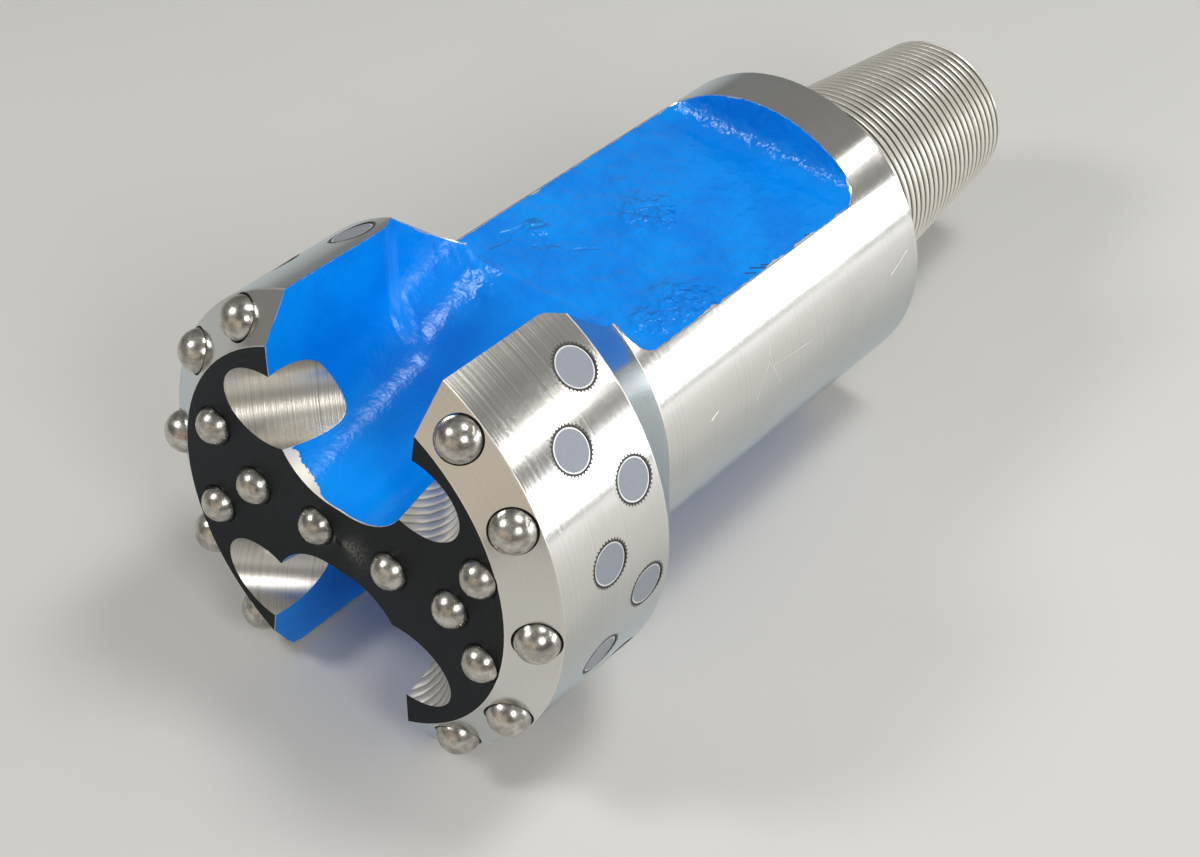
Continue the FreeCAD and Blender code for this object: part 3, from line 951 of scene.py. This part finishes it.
@dataclass(frozen=True)
class BodyFinish:
    """Machined steel, with bright enamel where the turned surface has been cut away."""

    enamel: Enamel = Enamel()
    turned: TurnedSteel = TurnedSteel()
    faced: FacedSteel = FacedSteel()
    milled: MilledSteel = MilledSteel()
    rim: Colour = (0.76, 0.73, 0.66, 1.0)
    # painted shade: a near-black colour laid in the button seats, where the holes fall into shade
    seat_shade: Colour = (0.02, 0.019, 0.018, 1.0)
    cone_gloss: float = 0.2
    rim_gloss: float = 0.62
    seat_shade_gloss: float = 0.8
    relief_mm: float = 0.12
    anisotropy: float = 0.5
    across_grooves: float = 0.25
    specular_level: float = 0.3
    gloss_tint: Colour = (0.82, 0.92, 1.0, 1.0)

    def make(self, groups: GroupMaker) -> bpy.types.Material:
        """Builds the material.

        Args:
            groups: the shared node groups.

        Returns:
            The material.
        """
        graph = BitGraph("Enamelled machined steel", groups)
        painted = self.enamel.mask(graph)
        bare = self.bare_surface(graph)
        paint = self.enamel.surface(graph)
        height = graph.math("ADD", graph.blend(painted, bare.height, paint.height), painted)
        return graph.shade({
            "Base Color": graph.tint(painted, bare.colour, paint.colour),
            # the seats lose their metal so that their painted shade stays dark
            "Metallic": graph.math("SUBTRACT", 1.0, graph.math("MAXIMUM", painted, graph.region["Seat"])),
            "Roughness": graph.blend(painted, bare.rough, paint.rough),
            "Normal": graph.bump(height, self.relief_mm),
            "Anisotropic": self.anisotropy,
            "Anisotropic Rotation": self.across_grooves,
            "Specular IOR Level": self.specular_level,
            "Specular Tint": self.gloss_tint,
            "Tangent": graph.node("ShaderNodeTangent", direction_type="RADIAL", axis="Y").outputs[0],
        })

    def bare_surface(self, graph: BitGraph) -> Skin:
        """Skin of the steel off the enamel: turned, faced, milled, on bare rims, and painted shade in the
        seats.

        Args:
            graph: the material's tree.

        Returns:
            The bare steel's skin.
        """
        turned = self.turned.surface(graph)
        faced = self.faced.surface(graph)
        milled = self.milled.surface(graph)
        region = graph.region
        deep = graph.math("GREATER_THAN", region["Depth"], MARGINS.bare_cut)
        cut_away = graph.times(region["Water way"], deep)
        exposed = graph.without(cut_away, graph.math("MAXIMUM", region["Face"], region["Pin"]))
        colour = turned.colour
        rough = graph.blend(region["Back cone"], turned.rough, self.cone_gloss)
        for mask, over, gloss in (
            (region["Face"], faced.colour, faced.rough),
            (exposed, self.rim, self.rim_gloss),
            (region["Scallop"], milled.colour, milled.rough),
            # painted shade in the button seats
            (region["Seat"], self.seat_shade, self.seat_shade_gloss),
        ):
            colour = graph.tint(mask, colour, over)
            rough = graph.blend(mask, rough, gloss)
        height = graph.blend(region["Face"], turned.height, faced.height)
        return Skin(colour, rough, graph.blend(region["Scallop"], height, milled.height))


@dataclass(frozen=True)
class DomeFinish:
    """Polished grey carbide, clouded by handling."""

    light: Colour = (0.62, 0.60, 0.55, 1.0)
    dark: Colour = (0.33, 0.31, 0.28, 1.0)
    clouds: Grain = Grain(0.30, 3.0, 0.65)
    clouded: Band = (0.3, 0.7)
    gloss: Spread = (0.14, 0.22)
    grit: Grain = Grain(0.9, 3.0)
    relief_mm: float = 0.025

    def make(self, groups: GroupMaker) -> bpy.types.Material:
        """Builds the material.

        Args:
            groups: the shared node groups.

        Returns:
            The material.
        """
        graph = BitGraph("Polished carbide", groups)
        cloud = graph.noise(graph.point, self.clouds)
        return graph.shade({
            "Base Color": graph.tint(graph.step(cloud, *self.clouded), self.dark, self.light),
            "Metallic": 1.0,
            "Roughness": graph.among(cloud, self.gloss),
            "Normal": graph.bump(graph.noise(graph.point, self.grit), self.relief_mm),
        })


@dataclass(frozen=True)
class FlatFinish:
    """Matt ground carbide with a shaded chamfer round it."""

    disc: Colour = (0.255, 0.28, 0.325, 1.0)
    speckle: Colour = (0.225, 0.245, 0.29, 1.0)
    # painted shade: the near-black colour on the chamfer stands in for its shadow
    chamfer: Colour = (0.06, 0.06, 0.062, 1.0)
    grain: Grain = Grain(1.6, 4.0, 0.7)
    speckled: Band = (0.4, 0.7)
    rim_edge: Band = (0.3, 0.6)
    metallic: tuple[float, float] = (0.1, 0.3)
    gloss: tuple[float, float] = (0.5, 0.35)
    relief_mm: float = 0.02

    def make(self, groups: GroupMaker) -> bpy.types.Material:
        """Builds the material.

        Args:
            groups: the shared node groups.

        Returns:
            The material.
        """
        graph = BitGraph("Ground carbide", groups)
        on_chamfer = graph.step(graph.use(groups.insert_rim)["Rim"], *self.rim_edge)
        grain = graph.noise(graph.point, self.grain)
        disc = graph.tint(graph.step(grain, *self.speckled), self.disc, self.speckle)
        return graph.shade({
            # painted shade on the chamfer
            "Base Color": graph.tint(on_chamfer, disc, self.chamfer),
            "Metallic": graph.blend(on_chamfer, *self.metallic),
            "Roughness": graph.blend(on_chamfer, *self.gloss),
            "Normal": graph.bump(grain, self.relief_mm),
        })


@dataclass(frozen=True)
class ThreadFinish:
    """Bright cut thread: polished crests, with painted shade darkening the flanks below them."""

    crest: Colour = (0.93, 0.90, 0.81, 1.0)
    # painted shade: the dark colour laid on the flanks, where shade falls between the crests
    flank: Colour = (0.10, 0.095, 0.09, 1.0)
    metallic: float = 0.8
    flank_shade_start: Band = (0.08, 0.75)
    drift: Grain = Grain(0.9, 3.0)
    drift_round: float = 2.0
    drift_shade: float = 0.3
    gloss: Spread = (0.22, 0.15)
    grit: Grain = Grain(5.0)
    relief_mm: float = 0.02

    def make(self, groups: GroupMaker) -> bpy.types.Material:
        """Builds the material.

        Args:
            groups: the shared node groups.

        Returns:
            The material.
        """
        graph = BitGraph("Cut thread", groups)
        taper = math.tan(math.radians(SIZES.pin_taper))
        crest_at_face = SIZES.pin_radius + SIZES.shoulder * taper
        crest_radius = graph.plus(crest_at_face, graph.along, -taper)
        below = graph.math("SUBTRACT", crest_radius, graph.radius)
        around = graph.combine(graph.times(graph.angle, self.drift_round), 0.0, graph.along)
        drift = graph.noise(around, self.drift)
        # painted shade, from the crest down into the flanks
        colour = graph.tint(graph.step(below, *self.flank_shade_start), self.crest, self.flank)
        return graph.shade({
            "Base Color": graph.tint(graph.times(drift, self.drift_shade), colour, self.flank),
            "Metallic": self.metallic,
            "Roughness": graph.among(drift, self.gloss),
            "Normal": graph.bump(graph.noise(around, self.grit), self.relief_mm),
        })


@dataclass(frozen=True)
class PlainFinish:
    """One surface with a faint unevenness of colour and gloss."""

    name: str
    colour: Colour
    uneven: Colour
    metallic: float
    roughness: float
    clouds: Grain
    gloss_spread: float = 0.1
    relief_mm: float = 0.05

    def make(self) -> bpy.types.Material:
        """Builds the material.

        Returns:
            The material.
        """
        graph = MaterialGraph(self.name)
        cloud = graph.noise(graph.node("ShaderNodeTexCoord").outputs["Object"], self.clouds)
        gloss = (self.roughness - self.gloss_spread / 2, self.gloss_spread)
        return graph.shade({
            "Base Color": graph.tint(cloud, self.colour, self.uneven),
            "Metallic": self.metallic,
            "Roughness": graph.among(cloud, gloss),
            "Normal": graph.bump(cloud, self.relief_mm),
        })


FLOOR_FINISH = PlainFinish(
    "Pale floor", (0.60, 0.60, 0.59, 1.0), (0.56, 0.56, 0.55, 1.0), 0.0, 0.6, Grain(6.0, 4.0))
# painted shade: a dark sheet laid round each insert, where the gap round it falls in shade
GAP_SHADE_FINISH = PlainFinish(
    "Shaded gap", (0.035, 0.033, 0.03, 1.0), (0.07, 0.066, 0.06, 1.0), 0.3, 0.5, Grain(900.0, 4.0))
# painted highlight: a pale ring laid on each insert's rim, bright however the light falls
EDGE_HIGHLIGHT_FINISH = PlainFinish(
    "Edge highlight", (0.70, 0.71, 0.71, 1.0), (0.58, 0.59, 0.60, 1.0), 0.35, 0.35, Grain(900.0, 4.0))


def add_mesh(name: str, mesh: bmesh.types.BMesh, material: bpy.types.Material,
             sharp_degrees: float = 30.0) -> bpy.types.Object:
    """Turns a finished bmesh into an object of the scene.

    Args:
        name: the piece's name.
        mesh: its geometry, freed here.
        material: its finish.
        sharp_degrees: edges bent by more than this stay sharp.

    Returns:
        The object.
    """
    data = bpy.data.meshes.new(name)
    bmesh.ops.recalc_face_normals(mesh, faces=mesh.faces)
    mesh.to_mesh(data)
    mesh.free()
    data.polygons.foreach_set("use_smooth", [True] * len(data.polygons))
    data.set_sharp_from_angle(angle=math.radians(sharp_degrees))
    data.materials.append(material)
    piece = bpy.data.objects.new(name, data)
    bpy.context.scene.collection.objects.link(piece)
    LOG.info("%s: %d faces", name, len(data.polygons))
    return piece


@dataclass
class PinThread:
    """Right-hand helical thread ridge wound round the tapered pin."""

    frame: BitFrame
    start_gap: float = 1.9
    end_gap: float = 0.3
    fade_turns: float = 0.6
    steps_per_turn: int = 120
    crest_half: float = 0.8
    shoulder_half: float = 1.02
    root_half: float = 1.74
    crown: float = 0.14
    sunk: float = 0.06
    least_share: float = 0.02
    sharp_degrees: float = 25.0

    def build(self, material: bpy.types.Material) -> bpy.types.Object:
        """Sweeps the ridge's section along the helix.

        Args:
            material: the thread's finish.

        Returns:
            The thread, in place.
        """
        run = SIZES.pin_length - self.start_gap - self.end_gap
        steps = int(run / SIZES.thread_pitch * self.steps_per_turn)
        mesh = bmesh.new()
        previous = None
        for step in range(steps + 1):
            turn = step / self.steps_per_turn
            ring = [mesh.verts.new(point) for point in self.section(turn)]
            if previous:
                for index in range(len(ring) - 1):
                    mesh.faces.new((previous[index], previous[index + 1], ring[index + 1], ring[index]))
            previous = ring
        return add_mesh("pin_thread", mesh, material, self.sharp_degrees)

    def section(self, turn: float) -> list[Vector]:
        """Points of the ridge's section after a number of turns from the shoulder.

        Args:
            turn: turns wound so far.

        Returns:
            Six points, from the flank towards the shoulder to the flank towards the pin's end.
        """
        depth = SIZES.thread_depth * max(min(1.0, turn / self.fade_turns), self.least_share)
        station = self.start_gap + turn * SIZES.thread_pitch
        angle = 2 * math.pi * turn
        taper = math.tan(math.radians(SIZES.pin_taper))
        nose = SIZES.pin_radius - SIZES.thread_depth - SIZES.pin_length * taper - SIZES.pin_nose_chamfer
        points = []
        for offset, height in (
            (-self.root_half, -self.sunk),
            (-self.shoulder_half, depth - self.crown),
            (-self.crest_half, depth),
            (self.crest_half, depth),
            (self.shoulder_half, depth - self.crown),
            (self.root_half, -self.sunk),
        ):
            place = min(station + offset, SIZES.pin_length - self.sunk)
            root = SIZES.pin_radius - SIZES.thread_depth - place * taper
            radius = min(root + height, nose + SIZES.pin_length - place)
            points.append(self.frame.place(
                radius * math.cos(angle), radius * math.sin(angle), SIZES.shoulder + place))
        return points


@dataclass
class InsertRings:
    """Rings round the flush inserts: a painted highlight on the edge and, outside it, a toothed ring of
    painted shade in the gap.
    """

    frame: BitFrame
    nodes: dict[str, bpy.types.Object]
    sink: float = 0.3
    lift: float = 0.03
    edge_inner: float = 6.30
    edge_outer: float = 6.78
    edge_steps: int = 72
    gap_inner: float = 6.98
    gap_outer: float = 7.50
    teeth: int = 36
    tooth_tip: float = 8.05
    tooth_share: float = 0.58
    tip_shares: tuple[float, float] = (0.44, 0.14)
    sharp_degrees: float = 40.0

    def places(self) -> list[tuple[float, float]]:
        """Angle round the bit, in radians, and place along it, in millimetres, of each insert."""
        centres = [self.frame.read(surface_centre(node)) for node in self.nodes.values()]
        return [(math.atan2(centre.y, centre.x), centre.z) for centre in centres]

    def build_edges(self, material: bpy.types.Material) -> bpy.types.Object:
        """Lays a ring of painted highlight on the rim of each insert's flat top.

        Args:
            material: the rings' finish.

        Returns:
            One object with all rings.
        """
        mesh = bmesh.new()
        level = SIZES.gauge_radius - self.sink + self.lift
        for angle, station in self.places():
            rims = []
            for reach in (self.edge_inner, self.edge_outer):
                rim = []
                for step in range(self.edge_steps):
                    turn = 2 * math.pi * step / self.edge_steps
                    side = reach * math.cos(turn)
                    across = level * math.cos(angle) - side * math.sin(angle)
                    up = level * math.sin(angle) + side * math.cos(angle)
                    rim.append(mesh.verts.new(self.frame.place(across, up, station + reach * math.sin(turn))))
                rims.append(rim)
            self.bridge(mesh, *rims)
        return add_mesh("insert_edge_highlights", mesh, material, self.sharp_degrees)

    def build_gaps(self, material: bpy.types.Material) -> bpy.types.Object:
        """Lays a toothed ring of painted shade round each insert, bent round the gauge.

        Args:
            material: the rings' finish.

        Returns:
            One object with all rings.
        """
        mesh = bmesh.new()
        for angle, station in self.places():
            steps = [tooth + share for tooth in range(self.teeth) for share in (0.0, self.tooth_share)]
            inside = [self.corner(mesh, angle, station, step, self.gap_inner) for step in steps]
            outside = [self.corner(mesh, angle, station, step, self.gap_outer) for step in steps]
            self.bridge(mesh, inside, outside)
            for index in range(0, len(steps), 2):
                tips = [
                    self.corner(mesh, angle, station, steps[index] + share, self.tooth_tip)
                    for share in self.tip_shares]
                mesh.faces.new((outside[index], outside[index + 1], *tips))
        return add_mesh("insert_gap_shade", mesh, material, self.sharp_degrees)

    def corner(self, mesh: bmesh.types.BMesh, angle: float, station: float, step: float,
               reach: float) -> bmesh.types.BMVert:
        """Point on the gauge beside an insert.

        Args:
            mesh: the mesh to add to.
            angle: the insert's angle round the bit, in radians.
            station: the insert's place along the bit, in millimetres.
            step: how far round the insert, in teeth.
            reach: how far from the insert's centre, in millimetres.

        Returns:
            The new point.
        """
        turn = 2 * math.pi * step / self.teeth
        around = angle + reach * math.cos(turn) / SIZES.gauge_radius
        radius = SIZES.gauge_radius + self.lift
        return mesh.verts.new(self.frame.place(
            radius * math.cos(around), radius * math.sin(around), station + reach * math.sin(turn)))

    @staticmethod
    def bridge(mesh: bmesh.types.BMesh, inside: list[bmesh.types.BMVert],
               outside: list[bmesh.types.BMVert]) -> None:
        """Joins two closed rows of points by a row of faces.

        Args:
            mesh: the mesh to add to.
            inside: the first row.
            outside: the second row, with as many points.
        """
        for index in range(len(inside)):
            after = (index + 1) % len(inside)
            mesh.faces.new((inside[index], inside[after], outside[after], outside[index]))


def surface_centre(piece: bpy.types.Object) -> Vector:
    """Centre of a piece's surface, weighted by area.

    Args:
        piece: the object.

    Returns:
        The centre in metres.
    """
    total = Vector((0.0, 0.0, 0.0))
    area = 0.0
    for polygon in piece.data.polygons:
        total += polygon.center * polygon.area
        area += polygon.area
    return total / area


@dataclass(frozen=True)
class Lamp:
    """Rectangular area light: its place and size in metres, its power in watts and its tint."""

    name: str
    place: tuple[float, float, float]
    size: tuple[float, float]
    watts: float
    tint: tuple[float, float, float]

    def add(self, target: Vector) -> None:
        """Adds the light to the scene.

        Args:
            target: the point it faces.
        """
        data = bpy.data.lights.new(self.name, "AREA")
        data.shape = "RECTANGLE"
        data.size, data.size_y = self.size
        data.energy = self.watts
        data.color = self.tint
        light = bpy.data.objects.new(self.name, data)
        light.location = self.place
        light.rotation_euler = (target - light.location).to_track_quat("-Z", "Y").to_euler()
        bpy.context.scene.collection.objects.link(light)


LAMPS = (
    Lamp("overhead", (0.27, 0.32, 1.3), (0.34, 0.34), 6.5, (1.0, 0.99, 0.96)),
    Lamp("left key", (-0.62, -0.75, 1.0), (0.3, 0.3), 6.0, (1.0, 0.985, 0.95)),
    Lamp("right key", (0.95, -0.50, 0.88), (0.4, 0.4), 5.0, (1.0, 0.985, 0.95)),
    Lamp("panel", (1.05, 0.85, 0.28), (0.9, 0.34), 7.0, (0.97, 0.985, 1.0)),
    Lamp("strip", (0.72, 0.85, 0.78), (0.9, 0.07), 2.0, (1.0, 0.99, 0.97)),
    Lamp("front", (0.10, -1.3, 0.42), (1.3, 0.8), 1.4, (1.0, 0.81, 0.60)),
)


@dataclass
class Studio:
    """Pale floor, soft lights and the camera of the photograph."""

    frame: BitFrame
    floor_size: float = 6.0
    floor_cells: int = 4
    camera_place: tuple[float, float, float] = (-349.4, 471.6, -362.3)
    camera_right: tuple[float, float, float] = (-0.77873, 0.06841, 0.62361)
    camera_forward: tuple[float, float, float] = (0.44315, -0.64363, 0.62399)
    focal_px: float = 2278.1
    sensor_mm: float = 36.0
    clip_start: float = 0.05
    aim: tuple[float, float, float] = (0.0, 0.0, 0.06)
    surround: Colour = (0.90, 0.89, 0.85, 1.0)
    surround_strength: float = 0.30

    def build(self) -> None:
        """Makes the floor, the lights and the camera."""
        self.add_floor()
        self.add_lights()
        self.add_camera()

    def add_floor(self) -> None:
        """Plain pale floor, not part of the object."""
        mesh = bmesh.new()
        cells = self.floor_cells
        bmesh.ops.create_grid(mesh, x_segments=cells, y_segments=cells, size=self.floor_size / 2)
        material = FLOOR_FINISH.make()
        self.clear_from_below(material)
        add_mesh("floor", mesh, material)

    @staticmethod
    def clear_from_below(material: bpy.types.Material) -> None:
        """Makes the floor's lower side clear, so that the bit's underside can be looked at.

        Args:
            material: the floor's finish.
        """
        graph = Graph(material.node_tree)
        clear = graph.node("ShaderNodeBsdfTransparent").outputs[0]
        below = graph.node("ShaderNodeNewGeometry").outputs["Backfacing"]
        pale = graph.tree.nodes["Principled BSDF"].outputs[0]
        mix = graph.wire("ShaderNodeMixShader", (below, pale, clear))
        graph.feed(graph.tree.nodes["Material Output"].inputs["Surface"], mix.outputs[0])

    def add_lights(self) -> None:
        """Lamps that face the bit, and a dim surround."""
        world = bpy.data.worlds.new("Studio")
        world.use_nodes = True
        background = world.node_tree.nodes["Background"]
        background.inputs["Color"].default_value = self.surround
        background.inputs["Strength"].default_value = self.surround_strength
        bpy.context.scene.world = world
        for lamp in LAMPS:
            lamp.add(Vector(self.aim))

    def add_camera(self) -> None:
        """Camera at the photograph's place, angle and focal length."""
        data = bpy.data.cameras.new("camera")
        data.sensor_width = self.sensor_mm
        data.lens = self.focal_px * self.sensor_mm / IMAGE_WIDTH_PX
        data.clip_start = self.clip_start
        right = self.frame.direction(*self.camera_right).normalized()
        forward = self.frame.direction(*self.camera_forward).normalized()
        up = right.cross(forward)
        turn = Matrix((right, up, -forward)).transposed().to_4x4()
        camera = bpy.data.objects.new("camera", data)
        camera.matrix_world = Matrix.Translation(self.frame.place(*self.camera_place)) @ turn
        bpy.context.scene.collection.objects.link(camera)
        bpy.context.scene.camera = camera


def dress_nodes(nodes: dict[str, bpy.types.Object], groups: GroupMaker) -> None:
    """Gives every CAD node its finish.

    Args:
        nodes: the CAD nodes by name.
        groups: the shared node groups.
    """
    finishes = {
        Slot.STEEL: BodyFinish().make(groups),
        Slot.DOME: DomeFinish().make(groups),
        Slot.FLAT: FlatFinish().make(groups),
    }
    for name, node in nodes.items():
        kind = Slot.STEEL if name == "bit_body" else Slot.DOME if "button" in name else Slot.FLAT
        for slot in node.material_slots:
            slot.material = finishes[kind]
        LOG.info("%s: %s", name, finishes[kind].name)


def main() -> None:
    """Builds the whole scene."""
    logging.basicConfig(level=logging.INFO)
    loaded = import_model()
    frame = BitFrame(loaded["record"])
    groups = GroupMaker(frame)
    nodes = loaded["nodes"]
    dress_nodes(nodes, groups)
    thread = PinThread(frame).build(ThreadFinish().make(groups))
    inserts = {name: node for name, node in nodes.items() if name.startswith("gauge_insert")}
    rings = InsertRings(frame, inserts)
    gaps = rings.build_gaps(GAP_SHADE_FINISH.make())
    edges = rings.build_edges(EDGE_HIGHLIGHT_FINISH.make())
    for piece in (thread, gaps, edges):
        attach(piece, "root")
    Studio(frame).build()
    bpy.context.scene.view_settings.view_transform = "Standard"


if __name__ == "__main__":
    main()
